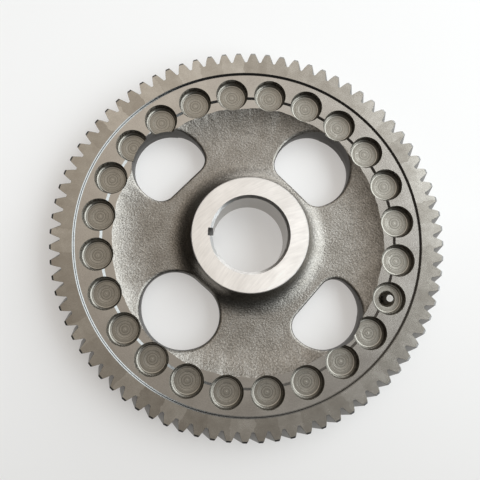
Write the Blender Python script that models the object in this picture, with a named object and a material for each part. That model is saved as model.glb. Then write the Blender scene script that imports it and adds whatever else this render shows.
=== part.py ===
"""Toothed flywheel, modelled as it is assembled: a forged body, a helical ring gear shrunk on
to it, and a timing pin standing in one of the body's pockets.

Metres, +Z along the axis towards the front face. The origin is on the axis, in the plane of
the rear faces, on which the wheel lies flat.
"""

import math

import bmesh
import bpy
from mathutils import Matrix, Vector

# ---- driving dimensions, in metres and degrees --------------------------------------------
TEETH = 80
NORMAL_MODULE = 0.0025
HELIX_ANGLE = 17.0
PRESSURE_ANGLE = 22.5
TOOTH_FULLNESS = 0.00016      # extra half thickness of a tooth at the pitch circle
WHOLE_DEPTH = 2.25            # in modules
TOOTH_PHASE = -0.42           # direction of the first tooth at the front face
TIP_CHAMFER = 0.0010          # radial width of the bevel turned on the tooth tips
TIP_CHAMFER_DEPTH = 0.0005

RIM_WIDTH = 0.016             # rear face to the front face of the teeth
FIT_GAP = 0.0003              # between touching pieces
SEAT_RADIUS = 0.0942          # the body's outer cylinder, under the ring gear
JOINT_STEP = 0.0008           # one bevel across the joint drops this far, teeth to rim
JOINT_BEVEL = 0.0005          # width of that bevel on each side of the joint
SHOULDER_RADIUS = 0.0967      # the rear collar that the ring gear is pushed against
SHOULDER_WIDTH = 0.003

HUB_RADIUS = 0.0311
HUB_FRONT = 0.0256
HUB_EDGE_BREAK = 0.0004
HUB_WALL_FOOT = 0.0215        # where the straight wall of the hub runs into its fillet
BORE_RADIUS = 0.0199
BORE_CHAMFER = 0.0014
REAR_CHAMFER = 0.0010
KEYWAY_ANGLE = 177.2
KEYWAY_WIDTH = 0.0043
KEYWAY_FLOOR_RADIUS = 0.0224

WEB_FRONT = 0.0100
WEB_REAR = 0.0025
HUB_FILLET_FOOT = 0.0440
DISH_FOOT = 0.0460            # where the web starts to rise towards the rim
DISH_POWER = 3.2
DISH_SHARES = (0.35, 0.55, 0.72, 0.87, 1.0)
RIM_EDGE = 0.0743             # where the rise meets the rim's inner land
REAR_HUB_RADIUS = 0.0330
REAR_HUB_FOOT = 0.0400
REAR_RIM_FOOT = 0.0620
REAR_RIM_RADIUS = 0.0745

STEP_RADIUS = 0.0800          # a bevel between the rim's two lands
STEP_HALF_WIDTH = 0.00065
STEP_DROP = 0.0008
OUTER_LAND = RIM_WIDTH - JOINT_STEP
INNER_LAND = OUTER_LAND - STEP_DROP

POCKETS = 24
POCKET_CIRCLE = 0.0826
POCKET_FIRST = 7.5            # direction of the first pocket
POCKET_RADIUS = 0.0090
POCKET_FLOOR = 0.0102         # height above the rear face
TIMING_POCKET = 22            # counted anticlockwise from the first pocket, which is 0
PIN_RADIUS = 0.00195
PIN_HOLE_RADIUS = 0.00225
PIN_RECESS_RADIUS = 0.0044
PIN_RECESS_DEPTH = 0.0025
PIN_BELOW_FACE = 0.0003
PIN_FROM_REAR = 0.0010
PIN_CHAMFER = 0.0003

# Each window is a round opening cut straight across on the hub's side: the direction and
# distance of its centre, its radius, the direction and distance of the straight side, and
# the radius of the two corners.
WINDOWS = (
    (49.0, 0.0537, 0.0212, 45.7, 0.0383, 0.0085),
    (138.2, 0.0600, 0.0204, 136.0, 0.0472, 0.0087),
    (227.2, 0.0517, 0.0229, 229.5, 0.0359, 0.0180),
    (316.5, 0.0570, 0.0204, 319.5, 0.0470, 0.0092),
)

BODY_SEGMENTS = 96
POCKET_SEGMENTS = 24
WINDOW_ARC_STEP = 12.0        # degrees between the points of a window's arcs
FRONT_FILLET_STEPS = 4
REAR_FILLET_STEPS = 3
SHARP_ANGLE = 28.0
CUT_BEYOND = 0.002            # how far a cutter reaches past the face that it cuts
CUT_CORE = 0.0005             # radius of the small flat ends of a turned cutter


# ---- helpers ------------------------------------------------------------------------------
def clear_scene():
    for obj in list(bpy.data.objects):
        bpy.data.objects.remove(obj)


def polar(radius, degrees):
    angle = math.radians(degrees)
    return radius * math.cos(angle), radius * math.sin(angle)


def material(name, colour, roughness, metallic):
    made = bpy.data.materials.new(name)
    made.use_nodes = True
    shader = made.node_tree.nodes["Principled BSDF"]
    shader.inputs["Base Color"].default_value = (*colour, 1.0)
    shader.inputs["Roughness"].default_value = roughness
    shader.inputs["Metallic"].default_value = metallic
    return made


def solid(name, points, faces, finish=None):
    """A new object from points and faces, with its faces turned outwards."""
    mesh = bpy.data.meshes.new(name)
    mesh.from_pydata(points, [], faces)
    work = bmesh.new()
    work.from_mesh(mesh)
    bmesh.ops.recalc_face_normals(work, faces=work.faces)
    work.to_mesh(mesh)
    work.free()
    obj = bpy.data.objects.new(name, mesh)
    bpy.context.scene.collection.objects.link(obj)
    if finish:
        mesh.materials.append(finish)
        mesh.shade_smooth()
        mesh.set_sharp_from_angle(angle=math.radians(SHARP_ANGLE))
    return obj


def turned_ring(name, profile, segments, finish=None):
    """A closed profile of (radius, height) points, turned once round the Z axis."""
    count = len(profile)
    points = []
    faces = []
    for step in range(segments):
        turn = 360.0 * step / segments
        following = (step + 1) % segments
        for index, (radius, height) in enumerate(profile):
            points.append((*polar(radius, turn), height))
            beside = (index + 1) % count
            faces.append((
                step * count + index,
                following * count + index,
                following * count + beside,
                step * count + beside,
            ))
    return solid(name, points, faces, finish)


def turned_plug(name, profile, segments, finish=None):
    """A solid turned round the Z axis from a profile that starts and ends near the axis."""
    count = len(profile)
    points = [(*polar(radius, 360.0 * step / segments), height)
              for step in range(segments) for radius, height in profile]
    faces = [tuple(step * count for step in range(segments)),
             tuple(step * count + count - 1 for step in range(segments))]
    for step in range(segments):
        here = step * count
        following = (step + 1) % segments * count
        for index in range(count - 1):
            faces.append((here + index, following + index,
                          following + index + 1, here + index + 1))
    return solid(name, points, faces, finish)


def prism(name, outline, low, high):
    """An upright prism on an outline of (x, y) points."""
    count = len(outline)
    points = [(x, y, height) for height in (low, high) for x, y in outline]
    faces = [tuple(range(count)), tuple(range(count, 2 * count))]
    for index in range(count):
        beside = (index + 1) % count
        faces.append((index, beside, count + beside, count + index))
    return solid(name, points, faces)


def as_cutter(obj, cutters):
    bpy.context.scene.collection.objects.unlink(obj)
    cutters.objects.link(obj)
    obj.display_type = "WIRE"
    obj.hide_render = True
    return obj


def fillet(start, end, steps):
    """Points of a quarter ellipse that leaves start straight down and reaches end level."""
    (r0, z0), (r1, z1) = start, end
    points = []
    for step in range(steps + 1):
        angle = math.radians(90.0 * step / steps)
        points.append((r0 + (r1 - r0) * (1.0 - math.cos(angle)),
                       z0 + (z1 - z0) * math.sin(angle)))
    return points


# ---- ring gear ----------------------------------------------------------------------------
PITCH_RADIUS = TEETH * NORMAL_MODULE / math.cos(math.radians(HELIX_ANGLE)) / 2
TIP_RADIUS = PITCH_RADIUS + NORMAL_MODULE
ROOT_RADIUS = TIP_RADIUS - WHOLE_DEPTH * NORMAL_MODULE
JOINT_SLOPE = JOINT_STEP / (2 * JOINT_BEVEL + FIT_GAP)
TRANSVERSE_PRESSURE = math.atan(math.tan(math.radians(PRESSURE_ANGLE))
                                / math.cos(math.radians(HELIX_ANGLE)))
BASE_RADIUS = PITCH_RADIUS * math.cos(TRANSVERSE_PRESSURE)
TWIST_PER_METRE = math.tan(math.radians(HELIX_ANGLE)) / PITCH_RADIUS


def involute(angle):
    return math.tan(angle) - angle


def tooth_half_angle(radius):
    """Half of the angle that a tooth fills at this radius."""
    here = math.acos(BASE_RADIUS / radius)
    half_at_pitch = math.pi / (2 * TEETH) + TOOTH_FULLNESS / PITCH_RADIUS
    return half_at_pitch + involute(TRANSVERSE_PRESSURE) - involute(here)


def gear_outline(height, tip_radius):
    """The toothed outline at one height, turned on by the helix."""
    turn = math.radians(TOOTH_PHASE) + (height - RIM_WIDTH) * TWIST_PER_METRE
    middle_radius = (ROOT_RADIUS + TIP_RADIUS) / 2
    points = []
    for tooth in range(TEETH):
        centre = turn + 2 * math.pi * tooth / TEETH
        for side, radii in ((-1, (ROOT_RADIUS, middle_radius, tip_radius)),
                            (1, (tip_radius, middle_radius, ROOT_RADIUS))):
            for radius in radii:
                angle = centre + side * tooth_half_angle(radius)
                points.append((radius * math.cos(angle), radius * math.sin(angle), height))
    return points


def ring_gear(finish):
    """Toothed outside, turned inside with a counterbore at the rear for the body's collar."""
    layers = ((0.0, TIP_RADIUS - TIP_CHAMFER), (TIP_CHAMFER_DEPTH, TIP_RADIUS),
              (RIM_WIDTH - TIP_CHAMFER_DEPTH, TIP_RADIUS),
              (RIM_WIDTH, TIP_RADIUS - TIP_CHAMFER))
    points = []
    for height, tip_radius in layers:
        points += gear_outline(height, tip_radius)
    count = len(points) // len(layers)
    faces = []
    for layer in range(len(layers) - 1):
        low = layer * count
        for index in range(count):
            beside = (index + 1) % count
            faces.append((low + index, low + beside,
                          low + count + beside, low + count + index))
    faces.append(tuple(range(count)))
    faces.append(tuple(range((len(layers) - 1) * count, len(layers) * count)))
    gear = solid("ring_gear", points, faces, finish)

    bore = SEAT_RADIUS + FIT_GAP
    counterbore = SHOULDER_RADIUS + FIT_GAP
    seat_height = SHOULDER_WIDTH + FIT_GAP
    cutter = turned_plug("ring_gear_bore", (
        (CUT_CORE, RIM_WIDTH + CUT_BEYOND),
        (bore + JOINT_BEVEL + CUT_BEYOND / JOINT_SLOPE, RIM_WIDTH + CUT_BEYOND),
        (bore, RIM_WIDTH - JOINT_BEVEL * JOINT_SLOPE),
        (bore, seat_height),
        (counterbore, seat_height),
        (counterbore, -CUT_BEYOND),
        (CUT_CORE, -CUT_BEYOND),
    ), BODY_SEGMENTS)
    return gear, cutter


# ---- flywheel body ------------------------------------------------------------------------
def body_profile():
    points = [
        (BORE_RADIUS, REAR_CHAMFER),
        (BORE_RADIUS, HUB_FRONT - BORE_CHAMFER),
        (BORE_RADIUS + BORE_CHAMFER, HUB_FRONT),
        (HUB_RADIUS - HUB_EDGE_BREAK, HUB_FRONT),
        (HUB_RADIUS, HUB_FRONT - HUB_EDGE_BREAK),
    ]
    points += fillet((HUB_RADIUS, HUB_WALL_FOOT), (HUB_FILLET_FOOT, WEB_FRONT),
                     FRONT_FILLET_STEPS)
    points.append((DISH_FOOT, WEB_FRONT))
    points += [(DISH_FOOT + (RIM_EDGE - DISH_FOOT) * share,
                WEB_FRONT + (INNER_LAND - WEB_FRONT) * share ** DISH_POWER)
               for share in DISH_SHARES]
    points += [
        (STEP_RADIUS - STEP_HALF_WIDTH, INNER_LAND),
        (STEP_RADIUS + STEP_HALF_WIDTH, OUTER_LAND),
        (SEAT_RADIUS - JOINT_BEVEL, OUTER_LAND),
        (SEAT_RADIUS, OUTER_LAND + JOINT_BEVEL * JOINT_SLOPE),
        (SEAT_RADIUS, SHOULDER_WIDTH),
        (SHOULDER_RADIUS, SHOULDER_WIDTH),
        (SHOULDER_RADIUS, 0.0),
    ]
    points += fillet((REAR_RIM_RADIUS, 0.0), (REAR_RIM_FOOT, WEB_REAR), REAR_FILLET_STEPS)
    points += reversed(fillet((REAR_HUB_RADIUS, 0.0), (REAR_HUB_FOOT, WEB_REAR),
                              REAR_FILLET_STEPS))
    points.append((BORE_RADIUS + REAR_CHAMFER, 0.0))
    return points


def arc(centre, radius, start, end):
    """Points from start to end degrees, anticlockwise, about every WINDOW_ARC_STEP."""
    steps = max(2, round((end - start) / WINDOW_ARC_STEP))
    return [(centre[0] + polar(radius, start + (end - start) * step / steps)[0],
             centre[1] + polar(radius, start + (end - start) * step / steps)[1])
            for step in range(steps + 1)]


def window_outline(centre_angle, centre_distance, radius, side_angle, side_distance, corner):
    """A circle cut straight across on the hub's side, with round corners."""
    centre = Vector(polar(centre_distance, centre_angle))
    outward = Vector(polar(1.0, side_angle))
    # The corner arcs' centres lie on the inner circle and on the line inside the straight side.
    reach = centre.dot(outward) - side_distance - corner
    half = math.degrees(math.acos(-reach / (radius - corner)))
    first = centre + Vector(polar(radius - corner, side_angle - half))
    last = centre + Vector(polar(radius - corner, side_angle + half))
    points = arc(centre, radius, side_angle - half, side_angle + half)
    points += arc(last, corner, side_angle + half, side_angle + 180.0)[1:]
    points += arc(first, corner, side_angle + 180.0, side_angle + 360.0 - half)[:-1]
    return points


def body_cutters():
    made = []
    above = HUB_FRONT + CUT_BEYOND
    below = -CUT_BEYOND
    mouth = [(CUT_CORE, RIM_WIDTH + CUT_BEYOND), (POCKET_RADIUS, RIM_WIDTH + CUT_BEYOND),
             (POCKET_RADIUS, POCKET_FLOOR)]
    blind_pocket = mouth + [(CUT_CORE, POCKET_FLOOR)]
    timing_pocket = mouth + [(PIN_RECESS_RADIUS, POCKET_FLOOR),
                             (PIN_HOLE_RADIUS, POCKET_FLOOR - PIN_RECESS_DEPTH),
                             (PIN_HOLE_RADIUS, below), (CUT_CORE, below)]
    for number in range(POCKETS):
        angle = POCKET_FIRST + 360.0 * number / POCKETS
        profile = timing_pocket if number == TIMING_POCKET else blind_pocket
        cutter = turned_plug(f"pocket_cutter_{number:02d}", profile, POCKET_SEGMENTS)
        cutter.location = (*polar(POCKET_CIRCLE, angle), 0.0)
        made.append(cutter)
    for number, window in enumerate(WINDOWS):
        made.append(prism(f"window_cutter_{number}", window_outline(*window), below, above))
    half = KEYWAY_WIDTH / 2
    inside_bore = BORE_RADIUS - 2 * KEYWAY_WIDTH
    keyway = prism("keyway_cutter", ((KEYWAY_FLOOR_RADIUS, -half), (KEYWAY_FLOOR_RADIUS, half),
                                     (inside_bore, half), (inside_bore, -half)),
                   below, above)
    keyway.data.transform(Matrix.Rotation(math.radians(KEYWAY_ANGLE), 4, "Z"))
    made.append(keyway)
    return made


def timing_pin(finish):
    """A plain dowel whose round end stands just under the level of the teeth's face."""
    top = RIM_WIDTH - PIN_BELOW_FACE
    pin = turned_plug("timing_pin", (
        (PIN_RADIUS - PIN_CHAMFER, top),
        (PIN_RADIUS, top - PIN_CHAMFER),
        (PIN_RADIUS, PIN_FROM_REAR + PIN_CHAMFER),
        (PIN_RADIUS - PIN_CHAMFER, PIN_FROM_REAR),
    ), POCKET_SEGMENTS, finish)
    angle = POCKET_FIRST + 360.0 * TIMING_POCKET / POCKETS
    pin.location = (*polar(POCKET_CIRCLE, angle), 0.0)
    return pin


# ---- assembly -----------------------------------------------------------------------------
def cut(obj, cutters):
    group = bpy.data.collections.new(f"{obj.name}_cutters")
    bpy.context.scene.collection.children.link(group)
    for cutter in cutters:
        as_cutter(cutter, group)
    modifier = obj.modifiers.new("cuts", "BOOLEAN")
    modifier.operation = "DIFFERENCE"
    modifier.operand_type = "COLLECTION"
    modifier.collection = group
    modifier.solver = "EXACT"


def main():
    clear_scene()
    gear_steel = material("gear_steel", (0.40, 0.37, 0.34), 0.42, 1.0)
    forged_steel = material("forged_steel", (0.22, 0.20, 0.18), 0.55, 1.0)
    pin_steel = material("pin_steel", (0.62, 0.60, 0.57), 0.25, 1.0)

    gear, gear_bore = ring_gear(gear_steel)
    cut(gear, [gear_bore])
    body = turned_ring("flywheel_body", body_profile(), BODY_SEGMENTS, forged_steel)
    cut(body, body_cutters())
    timing_pin(pin_steel)


main()
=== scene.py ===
"""Looks for the toothed flywheel: high-resolution pieces, procedural steels, floor, lights and
camera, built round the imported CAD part. Shapes are worked out in millimetres in the part's
own frame and written to the meshes in metres.
"""

import math

import bmesh
import bpy
import numpy as np
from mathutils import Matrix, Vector, geometry, noise


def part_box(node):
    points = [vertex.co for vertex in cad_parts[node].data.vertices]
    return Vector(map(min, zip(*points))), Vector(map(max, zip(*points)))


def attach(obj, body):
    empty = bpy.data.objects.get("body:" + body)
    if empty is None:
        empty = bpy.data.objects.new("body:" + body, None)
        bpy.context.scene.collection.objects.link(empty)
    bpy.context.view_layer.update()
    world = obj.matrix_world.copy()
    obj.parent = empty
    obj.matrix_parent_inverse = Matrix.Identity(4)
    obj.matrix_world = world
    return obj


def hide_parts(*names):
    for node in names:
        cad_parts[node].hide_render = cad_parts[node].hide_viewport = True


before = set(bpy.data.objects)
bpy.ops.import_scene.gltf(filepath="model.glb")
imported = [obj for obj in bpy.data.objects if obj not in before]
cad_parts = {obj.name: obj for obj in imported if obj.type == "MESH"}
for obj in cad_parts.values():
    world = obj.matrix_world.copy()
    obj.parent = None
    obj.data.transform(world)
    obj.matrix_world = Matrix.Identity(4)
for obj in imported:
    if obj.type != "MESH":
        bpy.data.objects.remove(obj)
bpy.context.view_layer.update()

MM = 0.001
_, BODY_HIGH = (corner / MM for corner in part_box("flywheel_body"))
RING_LOW, RING_HIGH = (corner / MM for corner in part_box("ring_gear"))
PIN_LOW, PIN_HIGH = (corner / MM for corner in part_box("timing_pin"))

# ---- dimensions in millimetres and degrees ------------------------------------------------
REAR = RING_LOW.z
RIM = RING_HIGH.z                   # height of the front faces of rim and teeth
HUB = BODY_HIGH.z                   # height of the hub's front face
SHOULDER_RADIUS = BODY_HIGH.x

TEETH = 80
HELIX = 17.0
MODULE = 2.5
PITCH_RADIUS = TEETH * MODULE / math.cos(math.radians(HELIX)) / 2
TIP_RADIUS = PITCH_RADIUS + MODULE
ROOT_RADIUS = TIP_RADIUS - 2.25 * MODULE
PRESSURE = math.atan(math.tan(math.radians(22.5)) / math.cos(math.radians(HELIX)))
BASE_RADIUS = PITCH_RADIUS * math.cos(PRESSURE)
TOOTH_FULLNESS = 0.16
TOOTH_PHASE = -0.42
TIP_CHAMFER = 1.0                   # radial width of the turned bevel on the tooth tips
TIP_CHAMFER_DEPTH = 0.5
ROOT_ROUNDING = 1.0
EDGE_BREAK = 0.09
ROOT_POINTS = 7                     # points of the outline, per side of a tooth
FLANK_POINTS = 9
HELIX_ROWS = 9                      # rows of points along the teeth
FACE_INSET = 0.9                    # from the roots in to the next ring of the face

SEAT_RADIUS = 94.2
SEAT_BEVEL = 0.5                   # each side of the joint, on one bevel turned across it
SEAT_GAP = 0.3
JOINT_STEP = 0.8                    # how far that bevel drops from the teeth to the rim
SEAT_FALL = JOINT_STEP / (2 * SEAT_BEVEL + SEAT_GAP)
SHOULDER_WIDTH = 3.0
SHOULDER_GAP = 0.01
SHOULDER_EDGE = 0.3
RIM_COLUMNS = 720                   # points round the rim's circles

HUB_RADIUS = 31.1
HUB_WALL_FOOT = 21.5
HUB_FILLET_FOOT = 44.0
HUB_EDGE_BREAK = 0.4
HUB_RINGS = (27.0, 24.0)            # rings of points on the ground face
HUB_COLUMNS = 344                   # points round the bore, besides those of the keyway
BORE_RADIUS = 19.9
BORE_CHAMFER = 1.4
REAR_CHAMFER = 1.0
KEYWAY_ANGLE = 177.2
KEYWAY_WIDTH = 4.3
KEYWAY_FLOOR = 22.4
KEYWAY_MARGIN = 0.7                 # degrees from the keyway to the next column
KEYWAY_WALL_COLUMNS = 5
KEYWAY_FLOOR_COLUMNS = 9

WEB_FRONT = 10.0
WEB_REAR = 2.5
PARTING = 7.0                       # height of the flash line round the windows
DISH_FOOT = 46.0
DISH_POWER = 3.2
RIM_EDGE = 74.3                     # mean radius at which the web's slope reaches the rim
REAR_HUB_RADIUS = 33.0
REAR_HUB_FOOT = 40.0
REAR_RIM_FOOT = 62.0
EDGE_BAND = 0.35                    # between the two rings of points along the slope's edge

# unevenness: height and size of the lumps, and the noise's seed where it doesn't vary
SKIN_WIDE = (0.12, 11.0)
SKIN_FINE = (0.03, 3.0)
FRONT_SEEDS = (1.7, 5.2)
REAR_SEEDS = (11.3, 14.9)
EDGE_WIDE = (0.9, 0.16, 3.1)        # of the slope's edge, with lumps sized on a unit circle
EDGE_FINE = (0.35, 0.05, 8.3)

STEP_RADIUS = 80.0                  # a second bevel, between the rim's two lands
STEP_HALF_WIDTH = 0.65
STEP_DROP = 0.8
OUTER_LAND = RIM - JOINT_STEP
INNER_LAND = OUTER_LAND - STEP_DROP

POCKETS = 24
POCKET_CIRCLE = 82.6
POCKET_FIRST = 7.5
POCKET_RADIUS = 9.0
POCKET_FLOOR = 10.2
POCKET_FILLET = 2.2
POCKET_DRAFT = 0.05
TIMING_POCKET = 22
PIN_HOLE_RADIUS = 2.25
PIN_RECESS_RADIUS = 4.4
PIN_RECESS_DEPTH = 2.5
PIN_EDGE = 0.12
PIN_LEAD = 0.3
PIN_CORE = 0.15                     # radius of the flat that closes each end
PIN_COLUMNS = 64

FLOOR_SPREAD = 0.3                  # share of the drawn differences between pocket floors
CUTTER_STEP = 0.05                  # a step that the cutter left in each floor
CUTTER_STEP_HALF = 0.12
PIP_HEIGHT = 0.08                   # the pip in the middle of each floor
PIP_TOP = 0.2
PIP_FOOT = 0.45
TIMING_SINK = 0.2
POCKET_OUTER_RINGS = (8.75, 8.45, 8.1, 7.65, 7.0, 6.2)
POCKET_INNER_RINGS = (3.0, 2.0, 1.2, 0.7)

# direction and distance of the centre, radius, direction and distance of the straight side,
# and corner radius
WINDOWS = (
    (49.0, 53.7, 21.2, 45.7, 38.3, 8.5),
    (138.2, 60.0, 20.4, 136.0, 47.2, 8.7),
    (227.2, 51.7, 22.9, 229.5, 35.9, 18.0),
    (316.5, 57.0, 20.4, 319.5, 47.0, 9.2),
)
WINDOW_LIP = 1.6
LIP_FADE = (76.0, 70.0)             # the lips grow from nothing between these radii
WINDOW_RINGS = (0.1, 0.2, 0.5, 0.7, 1.0, 1.3, 1.6, 2.2)
WINDOW_DRAFT = 0.35                 # how far the walls lean out from the flash line

REAR_PARTING = PARTING - 1.0        # where the rear half of the windows' walls starts
REAR_LIMIT = PARTING - 0.8          # keeps the rear below the front

WEB_SPACING = 0.95
WINDOW_SPACING = 0.7
SHARP_ANGLE = 28.0
RING_CLEARANCE = 0.2                # from the windows' rings to the pockets
WEB_POCKET_CLEARANCE = 0.3          # from the web's loose points to the other outlines
WEB_EDGE_CLEARANCE = 0.6
WEB_WINDOW_CLEARANCE = 2.6

# ---- stage, in metres ---------------------------------------------------------------------
FLOOR_REACH = 3.0
FLOOR_DROP = 0.0002                 # keeps the paper clear of the rear faces
PAPER_TINT = (1.0, 0.97, 0.94, 1.0)
PAPER_GLOW = 0.39

# each lamp points at the wheel: name, place, size, power and colour
LAMPS = (
    ("key", (1.72, 0.32, 1.30), (3.7, 2.0), 88.0, (0.86, 0.94, 1.0)),
    ("sill", (1.00, 2.80, 0.55), (3.4, 0.8), 38.0, (0.95, 0.98, 1.0)),
)

# the dome's light along each axis: a share of the direction and the strength there, twice
DOME_SLOPE = ((-0.5, 0.10), (0.5, 1.50))
DOME_HEIGHT = ((0.45, 0.08), (0.91, 1.0))
DOME_WEST = ((-0.72, 0.16), (-0.25, 1.0))
DOME_EAST = ((0.05, 1.0), (0.45, 0.60))
DOME_TINT = ((-0.5, 0.0), (0.5, 1.0))
WEST_TINT = (1.0, 0.91, 0.80, 1.0)
EAST_TINT = (0.96, 0.98, 1.0, 1.0)

SENSOR_WIDTH = 36.0
CAMERA_LENS = 41.39
CAMERA_PLACE = (-0.01714, -0.04959, 0.31068)
CAMERA_TURN = (9.25, -2.323, 1.263)


# ---- small helpers ------------------------------------------------------------------------
def polar(radius, degrees):
    angle = np.radians(degrees)
    return np.stack((radius * np.cos(angle), radius * np.sin(angle)), axis=-1)


def smooth(low, high, value):
    share = np.clip((value - low) / (high - low), 0.0, 1.0)
    return share * share * (3.0 - 2.0 * share)


def lumps(points, height, size, seed):
    """Smooth noise of about this height either way, whose lumps are about size across."""
    return height * np.array([noise.noise(Vector((x / size, y / size, seed)))
                              for x, y in points])


def mesh_object(name, points, faces, indices, materials):
    """A closed piece, in metres, smooth but for its sharp edges, with a material per face."""
    mesh = bpy.data.meshes.new(name)
    mesh.from_pydata((np.asarray(points) * MM).tolist(), [], faces)
    for made in materials:
        mesh.materials.append(made)
    mesh.polygons.foreach_set("material_index", indices)
    work = bmesh.new()
    work.from_mesh(mesh)
    bmesh.ops.recalc_face_normals(work, faces=work.faces)
    work.to_mesh(mesh)
    work.free()
    mesh.shade_smooth()
    mesh.set_sharp_from_angle(angle=math.radians(SHARP_ANGLE))
    work = bmesh.new()
    work.from_mesh(mesh)
    for edge in work.edges:
        if len({face.material_index for face in edge.link_faces}) > 1:
            edge.smooth = False
    work.to_mesh(mesh)
    work.free()
    obj = bpy.data.objects.new(name, mesh)
    bpy.context.scene.collection.objects.link(obj)
    return obj


def grid_faces(rows, columns, close_rows):
    """Quads between rows of points that each go once round."""
    faces = []
    row_of = []
    for row in range(rows if close_rows else rows - 1):
        here = row * columns
        following = (row + 1) % rows * columns
        for column in range(columns):
            beside = (column + 1) % columns
            faces.append((here + column, here + beside, following + beside, following + column))
            row_of.append(row)
    return faces, row_of


# ---- materials ----------------------------------------------------------------------------
class Finish:
    """A Principled material with short calls for the nodes that feed it."""

    def __init__(self, name, roughness, metallic=1.0):
        self.material = bpy.data.materials.new(name)
        self.material.use_nodes = True
        self.tree = self.material.node_tree
        self.shader = self.tree.nodes["Principled BSDF"]
        self.shader.inputs["Roughness"].default_value = roughness
        self.shader.inputs["Metallic"].default_value = metallic
        self.shader.inputs["Base Color"].default_value = (0.5, 0.5, 0.5, 1.0)
        self.place = self.tree.nodes.new("ShaderNodeTexCoord").outputs["Object"]

    def put(self, socket, value):
        if isinstance(value, bpy.types.NodeSocket):
            self.tree.links.new(value, socket)
        else:
            socket.default_value = value

    def math(self, operation, first, second=0.0):
        node = self.tree.nodes.new("ShaderNodeMath")
        node.operation = operation
        for socket, value in zip(node.inputs, (first, second)):
            self.put(socket, value)
        return node.outputs[0]

    def noise(self, scale, detail=2.0, roughness=0.5, vector=None, kind="3D"):
        node = self.tree.nodes.new("ShaderNodeTexNoise")
        node.noise_dimensions = kind
        if kind == "1D":
            self.put(node.inputs["W"], vector)
        else:
            self.put(node.inputs["Vector"], vector or self.place)
        node.inputs["Scale"].default_value = scale
        node.inputs["Detail"].default_value = detail
        node.inputs["Roughness"].default_value = roughness
        return node.outputs["Fac"]

    def ramp(self, value, stops):
        """A colour ramp. A stop is (position, colour), or (position, grey)."""
        node = self.tree.nodes.new("ShaderNodeValToRGB")
        self.put(node.inputs["Fac"], value)
        points = node.color_ramp.elements
        while len(points) < len(stops):
            points.new(0.5)
        for point, (position, colour) in zip(points, stops):
            point.position = position
            if not isinstance(colour, tuple):
                colour = (colour,) * 3
            point.color = (*colour, 1.0)
        return node.outputs["Color"]

    def mix(self, share, first, second, blend="MIX"):
        node = self.tree.nodes.new("ShaderNodeMix")
        node.data_type = "RGBA"
        node.blend_type = blend
        for socket, value in zip((node.inputs[0], node.inputs[6], node.inputs[7]),
                                 (share, first, second)):
            if isinstance(value, tuple):
                value = (*value, 1.0)
            self.put(socket, value)
        return node.outputs[2]

    def split(self):
        node = self.tree.nodes.new("ShaderNodeSeparateXYZ")
        self.put(node.inputs[0], self.place)
        return node.outputs

    def radius(self):
        x, y, _ = self.split()
        return self.math("SQRT", self.math("ADD", self.math("MULTIPLY", x, x),
                                           self.math("MULTIPLY", y, y)))

    def turn(self):
        x, y, _ = self.split()
        return self.math("ARCTAN2", y, x)

    def attribute(self, name):
        node = self.tree.nodes.new("ShaderNodeAttribute")
        node.attribute_name = name
        return node.outputs["Vector"]

    def length(self, vector):
        node = self.tree.nodes.new("ShaderNodeVectorMath")
        node.operation = "LENGTH"
        self.put(node.inputs[0], vector)
        return node.outputs["Value"]

    def colour(self, value):
        self.put(self.shader.inputs["Base Color"], value)

    def roughness(self, value, low, high):
        node = self.tree.nodes.new("ShaderNodeMapRange")
        self.put(node.inputs["Value"], value)
        node.inputs["To Min"].default_value = low
        node.inputs["To Max"].default_value = high
        self.put(self.shader.inputs["Roughness"], node.outputs[0])

    def bump(self, height, distance):
        node = self.tree.nodes.new("ShaderNodeBump")
        node.inputs["Strength"].default_value = 1.0
        node.inputs["Distance"].default_value = distance
        self.put(node.inputs["Height"], height)
        before = self.shader.inputs["Normal"].links
        if before:
            self.put(node.inputs["Normal"], before[0].from_socket)
        self.put(self.shader.inputs["Normal"], node.outputs["Normal"])


def forged_steel():
    """The web: shot-blasted scale, brown-grey and grainy."""
    made = Finish("forged_web", 0.5)
    tone = made.noise(110.0, 3.0, 0.6)
    grain = made.noise(1300.0, 2.0, 0.6)
    colour = made.ramp(tone, [(0.3, (0.238, 0.215, 0.186)), (0.7, (0.305, 0.281, 0.250))])
    speck = made.ramp(grain, [(0.35, 0.72), (0.5, 1.0), (0.68, 1.3)])
    colour = made.mix(1.0, colour, speck, "MULTIPLY")
    reach = made.math("DIVIDE", made.radius(), RIM_EDGE * MM)
    # painted shade: the web's colour is 5% darker near the hub, for the shade round the hub's
    # foot
    painted_hub_shade = made.ramp(reach, [(HUB_RADIUS / RIM_EDGE, 0.95), (0.47, 0.95), (0.58, 1.0)])
    made.colour(made.mix(1.0, colour, painted_hub_shade, "MULTIPLY"))
    made.roughness(grain, 0.34, 0.46)
    made.bump(made.noise(920.0, 2.0, 0.6), 0.00020)
    made.bump(grain, 0.00008)
    return made.material


def window_wall():
    """The windows' sheared walls: dark scale with faint upright drag marks, the colour kept
    near-black as painted shade.
    """
    made = Finish("window_wall", 0.4)
    grain = made.noise(900.0, 2.0, 0.6)
    made.colour(made.ramp(grain, [(0.3, (0.045, 0.042, 0.038)), (0.7, (0.075, 0.071, 0.065))]))
    made.roughness(grain, 0.32, 0.48)
    made.bump(grain, 0.00006)
    return made.material


def machined_rim():
    """The rim's turned lands, with fine rings round the axis."""
    made = Finish("machined_rim", 0.4)
    tone = made.noise(60.0, 3.0, 0.6)
    grain = made.noise(1800.0, 2.0, 0.5)
    colour = made.ramp(tone, [(0.3, (0.335, 0.308, 0.275)), (0.7, (0.400, 0.372, 0.334))])
    speck = made.ramp(grain, [(0.3, 0.92), (0.7, 1.06)])
    made.colour(made.mix(1.0, colour, speck, "MULTIPLY"))
    made.roughness(tone, 0.22, 0.30)
    lines = made.noise(2600.0, 1.0, 0.5, made.radius(), "1D")
    made.bump(lines, 0.00001)
    return made.material


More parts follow.
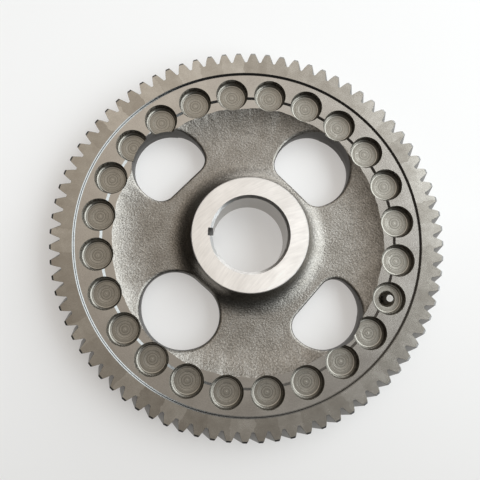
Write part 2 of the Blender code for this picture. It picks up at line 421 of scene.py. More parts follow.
def pocket_steel():
    """Pocket floors: cut by an end mill that left rings round each centre."""
    made = Finish("milled_pocket", 0.35)
    local = made.length(made.attribute("pocket_place"))
    rings = made.noise(1900.0, 3.0, 0.7, local, "1D")
    grain = made.noise(1400.0, 2.0, 0.6)
    colour = made.ramp(rings, [(0.35, (0.13, 0.117, 0.097)), (0.5, (0.25, 0.229, 0.194)),
                               (0.65, (0.38, 0.352, 0.303))])
    speck = made.ramp(grain, [(0.3, 0.9), (0.7, 1.1)])
    colour = made.mix(1.0, colour, speck, "MULTIPLY")
    reach = made.math("DIVIDE", local, POCKET_RADIUS * MM)
    # painted shade: the floor's colour is 15% darker where it bends up into the wall; painted
    # light: the wall itself is 5% lighter
    wall = made.ramp(reach, [(0.76, 1.0), (0.86, 0.85), (0.99, 1.05)])
    made.colour(made.mix(1.0, colour, wall, "MULTIPLY"))
    made.put(made.shader.inputs["Roughness"], made.ramp(reach, [(0.90, 0.36), (0.98, 0.8)]))
    made.bump(rings, 0.00004)
    return made.material


def ground_steel():
    """The hub's face, ground bright with faint streaks."""
    made = Finish("ground_hub", 0.3)
    x, y, _ = made.split()
    # the streaks run along one direction, bent a little round the axis
    along = made.math("ADD", made.math("MULTIPLY", x, 0.8), made.math("MULTIPLY", y, 0.6))
    across = made.math("SUBTRACT", made.math("MULTIPLY", y, 0.8), made.math("MULTIPLY", x, 0.6))
    brushed = made.tree.nodes.new("ShaderNodeCombineXYZ")
    made.put(brushed.inputs["X"], made.math("MULTIPLY", along, 0.12))
    bent = made.math("ADD", across, made.math("MULTIPLY", made.radius(), 0.35))
    made.put(brushed.inputs["Y"], bent)
    streaks = made.noise(900.0, 3.0, 0.65, brushed.outputs[0])
    tone = made.noise(90.0, 2.0, 0.5)
    colour = made.ramp(tone, [(0.3, (0.79, 0.757, 0.72)), (0.7, (0.90, 0.867, 0.83))])
    # painted light and shade: the face's colour runs from 12% darker towards the upper left to
    # 18% lighter towards the lower right
    painted_light_sweep = made.ramp(made.math("ADD", made.math("MULTIPLY", across, -10.0), 0.5),
                      [(0.2, 0.88), (0.5, 0.98), (0.8, 1.18)])
    colour = made.mix(1.0, colour, painted_light_sweep, "MULTIPLY")
    shine = made.ramp(streaks, [(0.3, 0.90), (0.7, 1.04)])
    made.colour(made.mix(1.0, colour, shine, "MULTIPLY"))
    made.roughness(streaks, 0.28, 0.38)
    made.bump(streaks, 0.000012)
    return made.material


def bored_steel():
    """The bore, fine-turned and darker than the hub's face."""
    made = Finish("bored_hub", 0.3)
    height = made.split()[2]
    lines = made.noise(2500.0, 2.0, 0.6, height, "1D")
    made.colour(made.ramp(lines, [(0.3, (0.36, 0.345, 0.325)), (0.7, (0.45, 0.435, 0.41))]))
    made.roughness(lines, 0.26, 0.36)
    return made.material


def chamfer_steel():
    """Turned bevels and broken edges, smoother and darker than the faces beside them."""
    made = Finish("turned_edge", 0.3)
    grain = made.noise(1200.0, 2.0, 0.6)
    made.colour(made.ramp(grain, [(0.3, (0.17, 0.165, 0.155)), (0.7, (0.24, 0.235, 0.225))]))
    made.roughness(grain, 0.16, 0.26)
    return made.material


def gear_face():
    """The ring gear's front: radial bands of heat tint, each one or two teeth wide."""
    made = Finish("tinted_gear_face", 0.4)
    teeth_per_band = 1.6
    turn = made.math("MULTIPLY", made.turn(), TEETH / (2 * math.pi) / teeth_per_band)
    ragged = made.noise(200.0, 2.0, 0.6)
    band = made.math("FLOOR", made.math("ADD", turn, made.math("MULTIPLY", ragged, 0.35)))
    node = made.tree.nodes.new("ShaderNodeTexWhiteNoise")
    node.noise_dimensions = "1D"
    made.put(node.inputs["W"], band)
    tone = made.noise(120.0, 3.0, 0.65)
    share = made.math("ADD", made.math("MULTIPLY", node.outputs["Value"], 0.45),
                      made.math("MULTIPLY", tone, 0.75))
    colour = made.ramp(share, [(0.25, (0.250, 0.225, 0.192)), (0.6, (0.325, 0.299, 0.260)),
                               (0.9, (0.410, 0.382, 0.34))])
    grain = made.noise(1700.0, 2.0, 0.5)
    made.colour(made.mix(1.0, colour, made.ramp(grain, [(0.3, 0.92), (0.7, 1.06)]), "MULTIPLY"))
    made.roughness(tone, 0.22, 0.31)
    return made.material


def gear_flank():
    made = Finish("gear_flank", 0.34)
    grain = made.noise(900.0, 2.0, 0.6)
    # painted shade: the flanks' colour is kept far darker than the face's, for the shade on the
    # teeth's sides
    made.colour(made.ramp(grain, [(0.3, (0.13, 0.123, 0.113)), (0.7, (0.20, 0.190, 0.176))]))
    made.roughness(grain, 0.30, 0.44)
    return made.material


def pin_steel():
    made = Finish("pin_end", 0.3)
    grain = made.noise(1500.0, 2.0, 0.6)
    made.colour(made.ramp(grain, [(0.3, (0.44, 0.415, 0.38)), (0.7, (0.50, 0.475, 0.44))]))
    made.roughness(grain, 0.28, 0.4)
    return made.material


# the looks, and after each piece's list the numbers of its slots
FORGED = forged_steel()
WALL = window_wall()
MACHINED = machined_rim()
POCKET = pocket_steel()
GROUND = ground_steel()
CHAMFER = chamfer_steel()
GEAR_FACE = gear_face()
GEAR_FLANK = gear_flank()
PIN_END = pin_steel()
BORED = bored_steel()

GEAR_LOOKS = [GEAR_FACE, GEAR_FLANK, CHAMFER]
ON_FACE, ON_FLANK, ON_EDGE = range(len(GEAR_LOOKS))
BODY_LOOKS = [FORGED, MACHINED, POCKET, GROUND, CHAMFER, BORED, WALL]
ON_FORGED, ON_RIM, ON_POCKET, ON_GROUND, ON_BEVEL, ON_BORE, ON_WALL = range(len(BODY_LOOKS))


# ---- ring gear ----------------------------------------------------------------------------
def tooth_half_angle(radius):
    """Half of the angle that a tooth fills at this radius: an involute flank."""
    here = np.arccos(BASE_RADIUS / radius)
    at_pitch = math.pi / (2 * TEETH) + TOOTH_FULLNESS / PITCH_RADIUS
    return at_pitch + math.tan(PRESSURE) - PRESSURE - (np.tan(here) - here)


def tooth_outline(tip, inset):
    """Radius and angle of the points of one tooth and half a gap on each side of it."""
    gap = math.pi / TEETH
    foot = ROOT_RADIUS + ROOT_ROUNDING
    bend = np.radians(np.linspace(0.0, 90.0, ROOT_POINTS)[:-1])
    foot_angle = tooth_half_angle(foot) - inset / foot
    low = ROOT_RADIUS - inset
    root_radius = low + (foot - low) * (1.0 - np.cos(bend))
    root_angle = gap + (foot_angle - gap) * np.sin(bend)
    flank_radius = np.linspace(foot, tip - EDGE_BREAK, FLANK_POINTS)
    flank_angle = tooth_half_angle(flank_radius) - inset / flank_radius
    top = flank_angle[-1] - EDGE_BREAK / tip
    radius = np.concatenate((root_radius, flank_radius, (tip, tip)))
    angle = np.concatenate((root_angle, flank_angle, (top, top / 2)))
    radius = np.concatenate((radius, (tip,), radius[:0:-1]))
    angle = np.concatenate((-angle, (0.0,), angle[:0:-1]))
    return radius, angle


def gear_ring(tip=None, inset=0.0, radius=None):
    """One whole ring of columns: the toothed outline, or a circle with the same columns."""
    tooth_radius, tooth_angle = tooth_outline(tip or TIP_RADIUS, inset)
    centres = math.radians(TOOTH_PHASE) + 2 * math.pi * np.arange(TEETH) / TEETH
    angle = (centres[:, None] + tooth_angle[None, :]).ravel()
    if radius is None:
        return np.tile(tooth_radius, TEETH), angle
    return np.full(angle.shape, radius), angle


def build_ring_gear():
    twist = math.tan(math.radians(HELIX)) / PITCH_RADIUS
    bore = SEAT_RADIUS + SEAT_GAP
    counterbore = SHOULDER_RADIUS + SEAT_GAP
    inner = ROOT_RADIUS - FACE_INSET
    seat = SHOULDER_WIDTH + SEAT_GAP
    side = [(gear_ring(tip=TIP_RADIUS - TIP_CHAMFER, inset=EDGE_BREAK), 0.0),
            (gear_ring(tip=TIP_RADIUS - TIP_CHAMFER + EDGE_BREAK), EDGE_BREAK),
            (gear_ring(), TIP_CHAMFER_DEPTH)]
    # each row is a ring, its height, and the slot of the faces from it to the next row
    rows = [(gear_ring(radius=bore), RIM - SEAT_BEVEL * SEAT_FALL, ON_EDGE),
            (gear_ring(radius=bore + SEAT_BEVEL), RIM, ON_FACE),
            (gear_ring(radius=inner), RIM, ON_FACE)]
    rows += [(ring, RIM - depth, slot)
             for (ring, depth), slot in zip(side, (ON_EDGE, ON_FLANK, ON_FLANK))]
    top = RIM - TIP_CHAMFER_DEPTH
    for height in np.linspace(top, REAR + TIP_CHAMFER_DEPTH, HELIX_ROWS)[1:-1]:
        rows.append((gear_ring(), height, ON_FLANK))
    rows += [(ring, REAR + depth, slot)
             for (ring, depth), slot in zip(reversed(side), (ON_FLANK, ON_EDGE, ON_FACE))]
    rows += [(gear_ring(radius=inner), REAR, ON_FACE),
             (gear_ring(radius=counterbore + SEAT_BEVEL), REAR, ON_EDGE),
             (gear_ring(radius=counterbore), REAR + SEAT_BEVEL, ON_FLANK),
             (gear_ring(radius=counterbore), seat, ON_FLANK),
             (gear_ring(radius=bore), seat, ON_FLANK)]
    points = []
    for (radius, angle), height, _ in rows:
        turned = angle + (height - RIM) * twist
        points.append(np.stack((radius * np.cos(turned), radius * np.sin(turned),
                                np.full(radius.shape, height)), axis=-1))
    faces, row_of = grid_faces(len(rows), len(points[0]), True)
    slots = [rows[row][2] for row in row_of]
    return mesh_object("helical_ring_gear", np.concatenate(points), faces, slots, GEAR_LOOKS)


# ---- flywheel body ------------------------------------------------------------------------
class Window:
    """A through opening: its outline and its outward normals."""

    def __init__(self, centre_angle, centre_distance, radius, side_angle, side_distance, corner):
        self.centre = polar(centre_distance, centre_angle)
        outward = polar(1.0, side_angle)
        reach = self.centre @ outward - side_distance - corner
        half = math.degrees(math.acos(-reach / (radius - corner)))
        first = self.centre + polar(radius - corner, side_angle - half)
        last = self.centre + polar(radius - corner, side_angle + half)
        straight = np.linspace(0.0, 1.0, 24)[1:-1, None]
        last_end = last + polar(corner, side_angle + 180.0)
        first_end = first + polar(corner, side_angle + 180.0)
        self.outline = np.concatenate((
            self.arc(self.centre, radius, side_angle - half, side_angle + half),
            self.arc(last, corner, side_angle + half, side_angle + 180.0)[1:],
            last_end + (first_end - last_end) * straight,
            self.arc(first, corner, side_angle + 180.0, side_angle + 360.0 - half)[:-1],
        ))
        along = np.roll(self.outline, -1, axis=0) - np.roll(self.outline, 1, axis=0)
        along /= np.linalg.norm(along, axis=1)[:, None]
        self.normals = np.stack((along[:, 1], -along[:, 0]), axis=-1)

    @staticmethod
    def arc(centre, radius, start, end):
        steps = round(math.radians(end - start) * radius / WINDOW_SPACING)
        return centre + polar(radius, np.linspace(start, end, steps + 1))

    def ring(self, distance):
        return self.outline + self.normals * distance

    def measure(self, points):
        """Signed distance from the outline, positive outside."""
        start = self.outline
        step = np.roll(start, -1, axis=0) - start
        length = (step ** 2).sum(axis=1)
        best = np.full(len(points), np.inf)
        inside = np.ones(len(points), bool)
        for number in range(len(start)):
            offset = points - start[number]
            share = np.clip(offset @ step[number] / length[number], 0.0, 1.0)
            gap = np.linalg.norm(offset - share[:, None] * step[number], axis=1)
            best = np.minimum(best, gap)
            inside &= step[number][0] * offset[:, 1] - step[number][1] * offset[:, 0] > -1e-9
        return np.where(inside, -best, best)


OPENINGS = [Window(*values) for values in WINDOWS]
POCKET_CENTRES = polar(POCKET_CIRCLE, POCKET_FIRST + 360.0 / POCKETS * np.arange(POCKETS))
CHANCE = np.random.default_rng(7)
POCKET_STEP = CHANCE.uniform(3.5, 5.0, POCKETS)
POCKET_SINK = CHANCE.uniform(-0.15, 0.15, POCKETS)


def rim_edge(points):
    """The radius at which the forged slope runs out on the rim, in this direction."""
    heading = points / np.linalg.norm(points, axis=1)[:, None]
    return RIM_EDGE + lumps(heading, *EDGE_WIDE) + lumps(heading, *EDGE_FINE)


def forged_skin(points, seeds):
    """The unevenness of a forged face."""
    return lumps(points, *SKIN_WIDE, seeds[0]) + lumps(points, *SKIN_FINE, seeds[1])


def window_lip(away, radius):
    """How far a window's rounded lip falls away, at this distance from its wall."""
    bend = np.clip(1.0 - away / WINDOW_LIP, 0.0, 1.0)
    return WINDOW_LIP * (1.0 - np.sqrt(1.0 - bend ** 2)) * smooth(*LIP_FADE, radius)


def nearest_pocket(points):
    gaps = np.linalg.norm(points[:, None, :] - POCKET_CENTRES[None, :, :], axis=2)
    return gaps.argmin(axis=1), gaps.min(axis=1)


def pocket_height(points):
    """Height of the pocket's wall and floor, and infinity outside every pocket."""
    number, away = nearest_pocket(points)
    wall = POCKET_RADIUS - POCKET_DRAFT
    floor = POCKET_FLOOR + POCKET_SINK[number] * FLOOR_SPREAD
    bend = np.clip((POCKET_FILLET - (wall - away)) / POCKET_FILLET, 0.0, 1.0)
    height = floor + POCKET_FILLET * (1.0 - np.sqrt(1.0 - bend ** 2))
    beyond = away - POCKET_STEP[number]
    height += CUTTER_STEP * smooth(-CUTTER_STEP_HALF, CUTTER_STEP_HALF, beyond) - CUTTER_STEP
    height += PIP_HEIGHT * smooth(PIP_FOOT, PIP_TOP, away)
    special = number == TIMING_POCKET
    cone = PIN_RECESS_DEPTH * np.clip((PIN_RECESS_RADIUS - away)
                                      / (PIN_RECESS_RADIUS - PIN_HOLE_RADIUS), 0.0, 1.0)
    height = np.where(special, np.maximum(height, floor - TIMING_SINK) - cone, height)
    return np.where(away > wall + 1e-6, np.inf, height)


def front_height(points):
    radius = np.linalg.norm(points, axis=1)
    bend = np.clip((HUB_FILLET_FOOT - radius) / (HUB_FILLET_FOOT - HUB_RADIUS), 0.0, 1.0)
    edge = rim_edge(points)
    climb = np.clip((radius - DISH_FOOT) / (edge - DISH_FOOT), 0.0, 2.0)
    rough = forged_skin(points, FRONT_SEEDS)
    web = WEB_FRONT + rough * smooth(0.0, 0.25, 1.0 - bend)
    hub_wall = web + (HUB_WALL_FOOT - WEB_FRONT) * (1.0 - np.sqrt(1.0 - bend ** 2))
    web += (INNER_LAND - WEB_FRONT) * climb ** DISH_POWER
    # the slope stops just short of the land, so that its edge stays crisp
    web = np.where(climb > 0.9999, INNER_LAND, np.minimum(web, INNER_LAND - 0.02))
    bevel = (radius - STEP_RADIUS + STEP_HALF_WIDTH) / (2 * STEP_HALF_WIDTH)
    web = np.where(radius < HUB_FILLET_FOOT, np.maximum(web, hub_wall), web)
    height = web + STEP_DROP * np.clip(bevel, 0.0, 1.0)
    for opening in OPENINGS:
        away = np.maximum(opening.measure(points), 0.0)
        wall = PARTING + away * (INNER_LAND - PARTING) / WINDOW_DRAFT
        height = np.minimum(height - window_lip(away, radius), wall)
    return np.minimum(height, pocket_height(points))


def rear_height(points):
    radius = np.linalg.norm(points, axis=1)
    hub = np.clip((REAR_HUB_FOOT - radius) / (REAR_HUB_FOOT - REAR_HUB_RADIUS), 0.0, 1.0)
    rim = np.clip((radius - REAR_RIM_FOOT) / (rim_edge(points) - REAR_RIM_FOOT), 0.0, 1.0)
    web = WEB_REAR * np.minimum(np.sqrt(1.0 - hub ** 2.0), np.sqrt(1.0 - rim ** 2.0))
    rough = forged_skin(points, REAR_SEEDS)
    height = np.maximum(web + rough * smooth(0.5, 2.5, web), REAR)
    for opening in OPENINGS:
        away = np.maximum(opening.measure(points), 0.0)
        height = height + window_lip(away, radius)
        height = np.maximum(height, REAR_PARTING - away * REAR_PARTING / WINDOW_DRAFT)
    return np.minimum(height, REAR_LIMIT)


def circle(radius, count, centre=(0.0, 0.0)):
    return polar(radius, 360.0 * np.arange(count) / count) + np.asarray(centre)


def keyed_columns():
    """Angles of the hub's columns, with the keyway's walls and floor among them. Each column
    is (angle, share), where share is how far it stands out from the bore to the keyway's
    floor, or None away from the keyway."""
    half = KEYWAY_WIDTH / 2
    bore_edge = math.degrees(math.asin(half / BORE_RADIUS))
    floor_edge = math.degrees(math.asin(half / KEYWAY_FLOOR))
    first = bore_edge + KEYWAY_MARGIN
    last = 360.0 - bore_edge - KEYWAY_MARGIN
    columns = [(angle, None) for angle in np.linspace(first, last, HUB_COLUMNS)]
    shares = np.linspace(0.0, 1.0, KEYWAY_WALL_COLUMNS)
    columns += [(-bore_edge + (bore_edge - floor_edge) * share, share) for share in shares]
    across = np.linspace(-floor_edge, floor_edge, KEYWAY_FLOOR_COLUMNS)[1:-1]
    columns += [(angle, 1.0) for angle in across]
    columns += [(bore_edge - (bore_edge - floor_edge) * share, share) for share in shares[::-1]]
    return columns


def hub_ring(columns, bore, height):
    """The bore's outline with its keyway, at one height."""
    half = KEYWAY_WIDTH / 2
    points = []
    for angle, share in columns:
        if share is None:
            place = polar(bore, angle)
        elif share < 1.0 or abs(angle) > math.degrees(math.asin(half / KEYWAY_FLOOR)) - 1e-6:
            radius = bore + (KEYWAY_FLOOR - bore) * share
            across = math.copysign(half, angle)
            place = (math.sqrt(radius ** 2 - half ** 2), across)
        else:
            place = polar(KEYWAY_FLOOR, angle)
        points.append(place)
    points = np.array(points)
    turn = math.radians(KEYWAY_ANGLE)
    x = points[:, 0] * math.cos(turn) - points[:, 1] * math.sin(turn)
    y = points[:, 0] * math.sin(turn) + points[:, 1] * math.cos(turn)
    return np.stack((x, y, np.full(len(x), height)), axis=-1)


def plan_points(columns):
    """Points and constraint loops of the body's plan, seen along the axis."""
    loops = [polar(HUB_RADIUS, np.array([angle for angle, _ in columns]) + KEYWAY_ANGLE),
             circle(SEAT_RADIUS - SEAT_BEVEL, RIM_COLUMNS)]
    around = circle(1.0, 2 * RIM_COLUMNS)
    edge = rim_edge(around)[:, None]
    loops += [around * edge, around * (edge - EDGE_BAND)]
    for offset in (-STEP_HALF_WIDTH, STEP_HALF_WIDTH):
        loops.append(circle(STEP_RADIUS + offset, RIM_COLUMNS))
    for opening in OPENINGS:
        loops.append(opening.outline)
        loops.append(opening.ring(WINDOW_DRAFT))
    for centre in POCKET_CENTRES:
        loops.append(circle(POCKET_RADIUS, 72, centre))
        loops.append(circle(POCKET_RADIUS - POCKET_DRAFT, 72, centre))
    hole = POCKET_CENTRES[TIMING_POCKET]
    loops.append(circle(PIN_HOLE_RADIUS, 32, hole))
    loops.append(circle(PIN_RECESS_RADIUS, 48, hole))

    loose = []
    for number, centre in enumerate(POCKET_CENTRES):
        step = POCKET_STEP[number]
        for away in (*POCKET_OUTER_RINGS, step + CUTTER_STEP_HALF, step - CUTTER_STEP_HALF,
                     *POCKET_INNER_RINGS, PIP_FOOT, PIP_TOP):
            loose.append(circle(away, max(8, int(away * 6)), centre))
        loose.append(centre[None, :])
    for opening in OPENINGS:
        for away in WINDOW_RINGS:
            ring = opening.ring(away)
            gap = nearest_pocket(ring)[1]
            loose.append(ring[gap > POCKET_RADIUS + RING_CLEARANCE])
    web = []
    bend = np.linspace(0.0, 90.0, 15)[1:]
    hub_rings = HUB_FILLET_FOOT - (HUB_FILLET_FOOT - HUB_RADIUS) * np.sin(np.radians(bend[:-1]))
    web_rings = np.arange(HUB_FILLET_FOOT + 0.6, RIM_EDGE + 0.8, WEB_SPACING * 0.87)
    for number, radius in enumerate(np.concatenate((hub_rings, web_rings))):
        count = int(2 * math.pi * radius / WEB_SPACING)
        ring = polar(radius, 360.0 * (np.arange(count) + 0.5 * (number % 2)) / count)
        web.append(ring)
    web = np.concatenate(web)
    keep = nearest_pocket(web)[1] > POCKET_RADIUS + WEB_POCKET_CLEARANCE
    keep &= np.linalg.norm(web, axis=1) < rim_edge(web) - WEB_EDGE_CLEARANCE
    for opening in OPENINGS:
        keep &= opening.measure(web) > WEB_WINDOW_CLEARANCE
    loose.append(web[keep])
    return loops, np.concatenate(loose)


def body_plan(columns):
    """Triangles of the plan, without the windows and the pin's hole."""
    loops, loose = plan_points(columns)
    points = []
    edges = []
    for loop in loops:
        start = len(points)
        points += [Vector(place) for place in loop]
        edges += [(start + step, start + (step + 1) % len(loop)) for step in range(len(loop))]
    points += [Vector(place) for place in loose]
    found = geometry.delaunay_2d_cdt(points, edges, [], 0, 1e-4)
    places = np.array([tuple(place) for place in found[0]])
    triangles = np.array([tuple(face) for face in found[2]])
    middle = places[triangles].mean(axis=1)
    keep = (np.linalg.norm(middle, axis=1) > HUB_RADIUS - 0.02)
    keep &= np.linalg.norm(middle, axis=1) < SEAT_RADIUS - SEAT_BEVEL
    for opening in OPENINGS:
        keep &= opening.measure(middle) > 0.0
    hole = np.linalg.norm(middle - POCKET_CENTRES[TIMING_POCKET], axis=1)
    keep &= hole > PIN_HOLE_RADIUS - 0.01
    return places, triangles[keep]


def front_slots(places, triangles, front, window_gap):
    """Which surface each triangle of the front belongs to."""
    middle = places[triangles].mean(axis=1)
    height = front[:, 2][triangles]
    away = nearest_pocket(middle)[1]
    out = np.linalg.norm(middle, axis=1)
    on_rim = (height.min(axis=1) > INNER_LAND - 0.01) & (out > HUB_FILLET_FOOT)
    on_bevel = np.abs(out - STEP_RADIUS) < STEP_HALF_WIDTH
    slots = np.where(on_rim, np.where(on_bevel, ON_BEVEL, ON_RIM), ON_FORGED)
    in_pocket = (away < POCKET_RADIUS) & (height.max(axis=1) >= POCKET_FLOOR - 3.0)
    in_pocket &= np.abs(pocket_height(middle) - height.mean(axis=1)) < 0.6
    in_pocket |= (away < POCKET_RADIUS) & (away > POCKET_RADIUS - POCKET_DRAFT)
    slots = np.where(in_pocket, ON_POCKET, slots)
    return np.where(window_gap < WINDOW_DRAFT, ON_WALL, slots)


def open_edges(triangles):
    """The edges that only one triangle has."""
    single = {}
    for a, b, c in triangles:
        for edge in ((a, b), (b, c), (c, a)):
            if edge[::-1] in single:
                del single[edge[::-1]]
            else:
                single[edge] = True
    return list(single)


def hub_shell(columns, angles, foot, rear_foot, start):
    """Points, faces and slots of the hub: from its wall over the ground face and down the keyed
    bore to the rear. foot and rear_foot are the plan's points round it."""
    def hub_circle(radius, height):
        return np.column_stack((polar(radius, angles), np.full(len(angles), height)))

    rows = [
        (hub_circle(HUB_RADIUS, HUB - HUB_EDGE_BREAK), ON_GROUND),
        (hub_circle(HUB_RADIUS - HUB_EDGE_BREAK, HUB), ON_GROUND),
        *((hub_circle(radius, HUB), ON_GROUND) for radius in HUB_RINGS),
        (hub_ring(columns, BORE_RADIUS + BORE_CHAMFER, HUB), ON_GROUND),
        (hub_ring(columns, BORE_RADIUS, HUB - BORE_CHAMFER), ON_BORE),
        (hub_ring(columns, BORE_RADIUS, (HUB + REAR) / 2), ON_BORE),
        (hub_ring(columns, BORE_RADIUS, REAR + REAR_CHAMFER), ON_BORE),
        (hub_ring(columns, BORE_RADIUS + REAR_CHAMFER, REAR), ON_GROUND),
    ]
    wide = len(columns)
    loops = [foot]
    loops += [list(range(start + row * wide, start + (row + 1) * wide))
              for row in range(len(rows))]
    loops.append(rear_foot)
    faces = []
    slots = []
    for row in range(len(loops) - 1):
        slot = ON_FORGED if row == 0 else rows[row - 1][1]
        for column in range(wide):
            beside = (column + 1) % wide
            faces.append((loops[row][column], loops[row][beside],
                          loops[row + 1][beside], loops[row + 1][column]))
            # the keyway's walls and floor take the near-black wall finish: painted shade in the
            # slot
            in_keyway = columns[column][1] is not None and columns[beside][1] is not None
            slots.append(ON_WALL if slot == ON_BORE and in_keyway else slot)
    return [ring for ring, _ in rows], faces, slots


def seat_shell(turns, brim, rear_brim, start):
    """Points, faces and slots of the ring gear's seat and its collar, from brim to brim."""
    collar = SHOULDER_RADIUS - SHOULDER_GAP
    profile = ((SEAT_RADIUS, OUTER_LAND + SEAT_BEVEL * SEAT_FALL), (SEAT_RADIUS, SHOULDER_WIDTH),
               (collar, SHOULDER_WIDTH), (collar, REAR + SHOULDER_EDGE),
               (collar - SHOULDER_EDGE, REAR))
    blocks = []
    loops = [brim]
    for radius, height in profile:
        blocks.append(np.column_stack((polar(radius, turns), np.full(RIM_COLUMNS, height))))
        loops.append(list(range(start, start + RIM_COLUMNS)))
        start += RIM_COLUMNS
    loops.append(rear_brim)
    faces = []
    slots = []
    for row in range(len(loops) - 1):
        for column in range(RIM_COLUMNS):
            beside = (column + 1) % RIM_COLUMNS
            faces.append((loops[row][beside], loops[row][column],
                          loops[row + 1][column], loops[row + 1][beside]))
            slots.append(ON_BEVEL if row == 0 else ON_RIM)
    return blocks, faces, slots


def build_body():
    columns = keyed_columns()
    places, triangles = body_plan(columns)
    used = np.unique(triangles)
    renumber = np.full(len(places), -1)
    renumber[used] = np.arange(len(used))
    places = places[used]
    triangles = renumber[triangles]
    corners = triangles.tolist()
    count = len(places)
    front = np.column_stack((places, front_height(places)))
    rear = np.column_stack((places, rear_height(places)))

    middle = places[triangles].mean(axis=1)
    window_gap = np.min([opening.measure(middle) for opening in OPENINGS], axis=0)
    faces = [tuple(face) for face in corners]
    slots = front_slots(places, triangles, front, window_gap).tolist()
    faces += [(c + count, b + count, a + count) for a, b, c in corners]
    rear_flat = rear[:, 2][triangles].max(axis=1) < REAR + 0.01
    slots += np.where(window_gap < WINDOW_DRAFT, ON_WALL,
                      np.where(rear_flat, ON_RIM, ON_FORGED)).tolist()

    # walls join front and rear round the windows and the pin's hole
    radius = np.linalg.norm(places, axis=1)
    outer_limit = SEAT_RADIUS - SEAT_BEVEL - 0.01
    inner_limit = HUB_RADIUS + 0.01
    for a, b in open_edges(corners):
        at_seat = min(radius[a], radius[b]) > outer_limit
        at_hub = max(radius[a], radius[b]) < inner_limit
        if not at_seat and not at_hub:
            faces.append((b, a, a + count, b + count))
            slots.append(ON_WALL)

    lookup = {tuple(np.round(place, 3)): index for index, place in enumerate(places)}

    def plan_loop(radius, angles):
        front_loop = [lookup[tuple(np.round(place, 3))] for place in polar(radius, angles)]
        return front_loop, [index + count for index in front_loop]

    angles = np.array([angle for angle, _ in columns]) + KEYWAY_ANGLE
    turns = 360.0 * np.arange(RIM_COLUMNS) / RIM_COLUMNS
    hub_blocks, hub_faces, hub_slots = hub_shell(
        columns, angles, *plan_loop(HUB_RADIUS, angles), 2 * count)
    seat_blocks, seat_faces, seat_slots = seat_shell(
        turns, *plan_loop(SEAT_RADIUS - SEAT_BEVEL, turns),
        2 * count + len(hub_blocks) * len(columns))

    points = np.concatenate([front, rear] + hub_blocks + seat_blocks)
    body = mesh_object("forged_body", points, faces + hub_faces + seat_faces,
                       slots + hub_slots + seat_slots, BODY_LOOKS)
    number = nearest_pocket(points[:, :2])[0]
    local = np.zeros((len(points), 3))
    local[:, :2] = (points[:, :2] - POCKET_CENTRES[number]) * MM
    kept = body.data.attributes.new("pocket_place", "FLOAT_VECTOR", "POINT")
    kept.data.foreach_set("vector", local.ravel())
    return body


# ---- timing pin ---------------------------------------------------------------------------
def build_pin():
    centre = POCKET_CENTRES[TIMING_POCKET]
    radius = (PIN_HIGH.x - PIN_LOW.x) / 2
    rows = [(PIN_CORE, PIN_HIGH.z), (radius - PIN_EDGE, PIN_HIGH.z),
            (radius, PIN_HIGH.z - PIN_EDGE), (radius, PIN_LOW.z + PIN_LEAD),
            (radius - PIN_LEAD, PIN_LOW.z), (PIN_CORE, PIN_LOW.z)]
    points = np.concatenate([
        np.column_stack((circle(away, PIN_COLUMNS, centre), np.full(PIN_COLUMNS, height)))
        for away, height in rows])
    faces, _ = grid_faces(len(rows), PIN_COLUMNS, False)
    faces.append(tuple(range(PIN_COLUMNS)))
    faces.append(tuple(range((len(rows) - 1) * PIN_COLUMNS, len(rows) * PIN_COLUMNS)))
    return mesh_object("dowel_pin", points, faces, [0] * len(faces), [PIN_END])


# ---- floor, lights and camera -------------------------------------------------------------
def build_stage():
    mesh = bpy.data.meshes.new("floor")
    mesh.from_pydata([(-FLOOR_REACH, -FLOOR_REACH, 0), (FLOOR_REACH, -FLOOR_REACH, 0),
                      (FLOOR_REACH, FLOOR_REACH, 0), (-FLOOR_REACH, FLOOR_REACH, 0)],
                     [], [(0, 1, 2, 3)])
    made = Finish("paper", 0.9, 0.0)
    # painted light: the paper glows evenly, which lifts its shade inside the windows and the
    # bore
    made.shader.inputs["Emission Color"].default_value = PAPER_TINT
    made.shader.inputs["Emission Strength"].default_value = PAPER_GLOW
    # painted shade: the paper's colour darkens towards -Y, for the light falling off towards the
    # bottom
    _, y, _ = made.split()
    made.colour(made.ramp(made.math("ADD", made.math("MULTIPLY", y, 2.5), 0.5),
                          [(0.15, (0.395, 0.388, 0.378)), (0.55, (0.535, 0.528, 0.518))]))
    mesh.materials.append(made.material)
    floor = bpy.data.objects.new("floor", mesh)
    bpy.context.scene.collection.objects.link(floor)
    floor.location.z = REAR * MM - FLOOR_DROP


def area_light(name, place, size, power, colour):
    data = bpy.data.lights.new(name, "AREA")
    data.shape = "RECTANGLE"
    data.size, data.size_y = size
    data.energy = power
    data.color = colour
    lamp = bpy.data.objects.new(name, data)
    lamp.location = place
    lamp.rotation_euler = (-Vector(place)).to_track_quat("-Z", "Y").to_euler()
    bpy.context.scene.collection.objects.link(lamp)


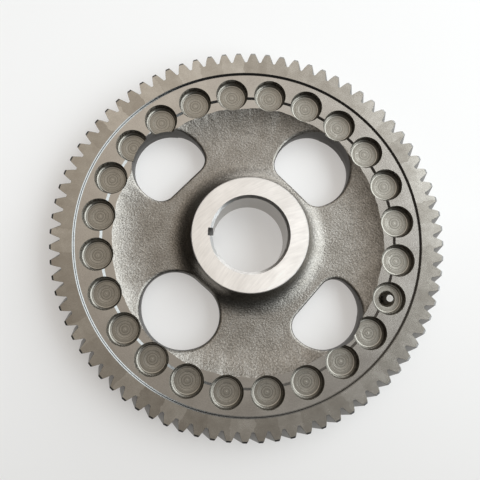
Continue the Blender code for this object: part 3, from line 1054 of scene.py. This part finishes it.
def build_world():
    """A soft dome, brightest high up towards +Y and dark along the horizon."""
    world = bpy.data.worlds.new("studio")
    world.use_nodes = True
    tree = world.node_tree
    way = tree.nodes.new("ShaderNodeTexCoord").outputs["Generated"]

    def along(direction, low, high):
        dot = tree.nodes.new("ShaderNodeVectorMath")
        dot.operation = "DOT_PRODUCT"
        dot.inputs[1].default_value = direction
        tree.links.new(way, dot.inputs[0])
        graded = tree.nodes.new("ShaderNodeMapRange")
        graded.inputs["From Min"].default_value, graded.inputs["To Min"].default_value = low
        graded.inputs["From Max"].default_value, graded.inputs["To Max"].default_value = high
        tree.links.new(dot.outputs["Value"], graded.inputs["Value"])
        return graded.outputs[0]

    slope = along((0.0, 1.0, 0.0), *DOME_SLOPE)
    height = along((0.0, 0.0, 1.0), *DOME_HEIGHT)
    west = along((1.0, 0.0, 0.0), *DOME_WEST)
    east = along((1.0, 0.0, 0.0), *DOME_EAST)

    def product(first, second):
        node = tree.nodes.new("ShaderNodeMath")
        node.operation = "MULTIPLY"
        tree.links.new(first, node.inputs[0])
        tree.links.new(second, node.inputs[1])
        return node.outputs[0]

    tint = tree.nodes.new("ShaderNodeMix")
    tint.data_type = "RGBA"
    tree.links.new(along((1.0, 0.0, 0.0), *DOME_TINT), tint.inputs[0])
    tint.inputs[6].default_value = WEST_TINT
    tint.inputs[7].default_value = EAST_TINT
    background = tree.nodes["Background"]
    tree.links.new(tint.outputs[2], background.inputs["Color"])
    strength = product(product(slope, height), product(west, east))
    tree.links.new(strength, background.inputs["Strength"])
    bpy.context.scene.world = world


def light_scene():
    build_world()
    bpy.context.scene.view_settings.view_transform = "Standard"
    for lamp in LAMPS:
        area_light(*lamp)


def place_camera():
    data = bpy.data.cameras.new("camera")
    data.sensor_width = SENSOR_WIDTH
    data.lens = CAMERA_LENS
    camera = bpy.data.objects.new("camera", data)
    camera.location = CAMERA_PLACE
    camera.rotation_mode = "ZYX"
    camera.rotation_euler = [math.radians(angle) for angle in CAMERA_TURN]
    bpy.context.scene.collection.objects.link(camera)
    bpy.context.scene.camera = camera


# ---- assembly -----------------------------------------------------------------------------
ring = build_ring_gear()
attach(ring, "root")
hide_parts("ring_gear")

body = build_body()
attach(body, "root")
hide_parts("flywheel_body")

pin = build_pin()
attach(pin, "root")
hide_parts("timing_pin")

build_stage()
light_scene()
place_camera()
